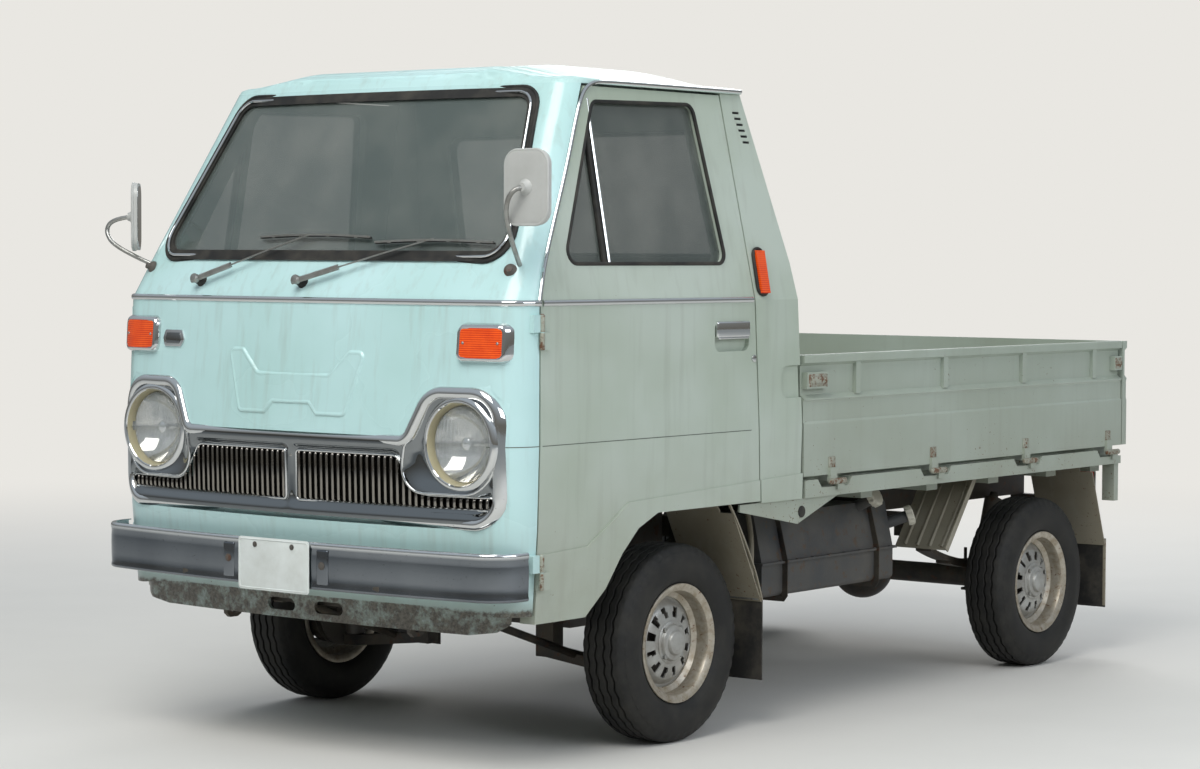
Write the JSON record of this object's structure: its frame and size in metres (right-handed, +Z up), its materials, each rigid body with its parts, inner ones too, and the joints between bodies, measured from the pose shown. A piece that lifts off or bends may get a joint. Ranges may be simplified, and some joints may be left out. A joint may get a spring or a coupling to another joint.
{
  "type": "kei pickup truck",
  "caption": "Small cab-over pickup truck with hinged doors, steered front wheels and a flat bed with fold-down sides.",
  "frame": {"origin": "on the ground under the middle of the truck's length and width", "axes": "+X forwards, +Y to the truck's left, +Z up"},
  "size_m": [2.995, 1.488, 1.6551],
  "materials": {
    "mint_paint": "gloss",
    "black_paint": "satin",
    "chrome": "polished",
    "wheel_silver": "satin",
    "bumper_metal": "dull",
    "tyre": "matt",
    "rubber": "matt",
    "glass": "clear",
    "lamp_glass": "clear",
    "orange_lens": "gloss",
    "red_lens": "gloss",
    "plate_white": "satin",
    "seat_vinyl": "satin",
    "dash_black": "matt",
    "bare_steel": "dull",
    "cast_metal": "rough",
    "exhaust_steel": "rusty",
    "mirror_back": "gloss"
  },
  "bodies": {
    "body": {"cab_front_panel": "mint_paint", "cab_roof": "mint_paint", "cab_rear_wall": "mint_paint", "cab_floor": "mint_paint", "cab_glass": "glass", "windscreen_seal": "rubber", "headlamps": "lamp_glass", "grille": "chrome", "front_bumper": "bumper_metal", "number_plates": "plate_white", "turn_lamps": "orange_lens", "tail_lamps": "red_lens", "wipers": "bare_steel", "mirrors": "mirror_back", "dashboard": "dash_black", "seats": "seat_vinyl", "bed_floor": "mint_paint", "bed_front_board": "mint_paint", "mudguards": "mint_paint", "mudflaps": "rubber", "fuel_tank": "black_paint", "filler_caps": "plate_white", "engine_block": "cast_metal", "exhaust": "exhaust_steel", "rear_axle": "black_paint", "leaf_springs": "black_paint", "front_suspension": "black_paint", "frame_rails": "black_paint", "frame_crossmembers": "black_paint"},
    "left_door": {"door_left": "mint_paint", "door_glass_left": "glass"},
    "right_door": {"door_right": "mint_paint", "door_glass_right": "glass"},
    "left_gate": {"gate_left": "mint_paint"},
    "right_gate": {"gate_right": "mint_paint"},
    "rear_gate": {"tailgate": "mint_paint"},
    "left_knuckle": {"knuckle_left": "cast_metal"},
    "right_knuckle": {"knuckle_right": "cast_metal"},
    "front_left_wheel": {"rim_front_left": "wheel_silver", "tyre_front_left": "tyre"},
    "front_right_wheel": {"rim_front_right": "wheel_silver", "tyre_front_right": "tyre"},
    "rear_left_wheel": {"rim_rear_left": "wheel_silver", "tyre_rear_left": "tyre"},
    "rear_right_wheel": {"rim_rear_right": "wheel_silver", "tyre_rear_right": "tyre"},
    "hand_wheel": {"steering_wheel": "dash_black"}
  },
  "joints": [
    {"name": "left_door_hinge", "type": "hinge", "parent": "body", "child": "left_door", "pos_m": [1.3, 0.6536, 0.75], "axis": [0, 0, -1], "range_deg": [0, 60]},
    {"name": "right_door_hinge", "type": "hinge", "parent": "body", "child": "right_door", "pos_m": [1.3, -0.6536, 0.75], "axis": [0, 0, 1], "range_deg": [0, 60]},
    {"name": "left_gate_hinge", "type": "hinge", "parent": "body", "child": "left_gate", "pos_m": [-0.6, 0.6551, 0.604], "axis": [-1, 0, 0], "range_deg": [0, 170]},
    {"name": "right_gate_hinge", "type": "hinge", "parent": "body", "child": "right_gate", "pos_m": [-0.6, -0.6551, 0.604], "axis": [1, 0, 0], "range_deg": [0, 170]},
    {"name": "rear_gate_hinge", "type": "hinge", "parent": "body", "child": "rear_gate", "pos_m": [-1.4905, 0, 0.604], "axis": [0, -1, 0], "range_deg": [0, 170]},
    {"name": "left_steer", "type": "hinge", "parent": "body", "child": "left_knuckle", "pos_m": [0.72, 0.455, 0.243], "axis": [0, 0, 1], "range_deg": [-30, 30]},
    {"name": "right_steer", "type": "hinge", "parent": "body", "child": "right_knuckle", "pos_m": [0.72, -0.455, 0.243], "axis": [0, 0, 1], "range_deg": [-30, 30]},
    {"name": "hand_wheel_turn", "type": "hinge", "parent": "body", "child": "hand_wheel", "pos_m": [0.985, -0.33, 0.985], "axis": [-0.3607, 0, 0.9327], "range_deg": [-540, 540]},
    {"name": "front_left_wheel_spin", "type": "hinge", "parent": "left_knuckle", "child": "front_left_wheel", "pos_m": [0.72, 0.557, 0.243], "axis": [0, 1, 0], "continuous": true},
    {"name": "front_right_wheel_spin", "type": "hinge", "parent": "right_knuckle", "child": "front_right_wheel", "pos_m": [0.72, -0.557, 0.243], "axis": [0, 1, 0], "continuous": true},
    {"name": "rear_left_wheel_spin", "type": "hinge", "parent": "body", "child": "rear_left_wheel", "pos_m": [-1.04, 0.557, 0.243], "axis": [0, 1, 0], "continuous": true},
    {"name": "rear_right_wheel_spin", "type": "hinge", "parent": "body", "child": "rear_right_wheel", "pos_m": [-1.04, -0.557, 0.243], "axis": [0, 1, 0], "continuous": true}
  ],
  "couplings": [
    {"joint": "right_steer", "follows": "left_steer", "ratio": 1},
    {"joint": "hand_wheel_turn", "follows": "left_steer", "ratio": 18}
  ]
}
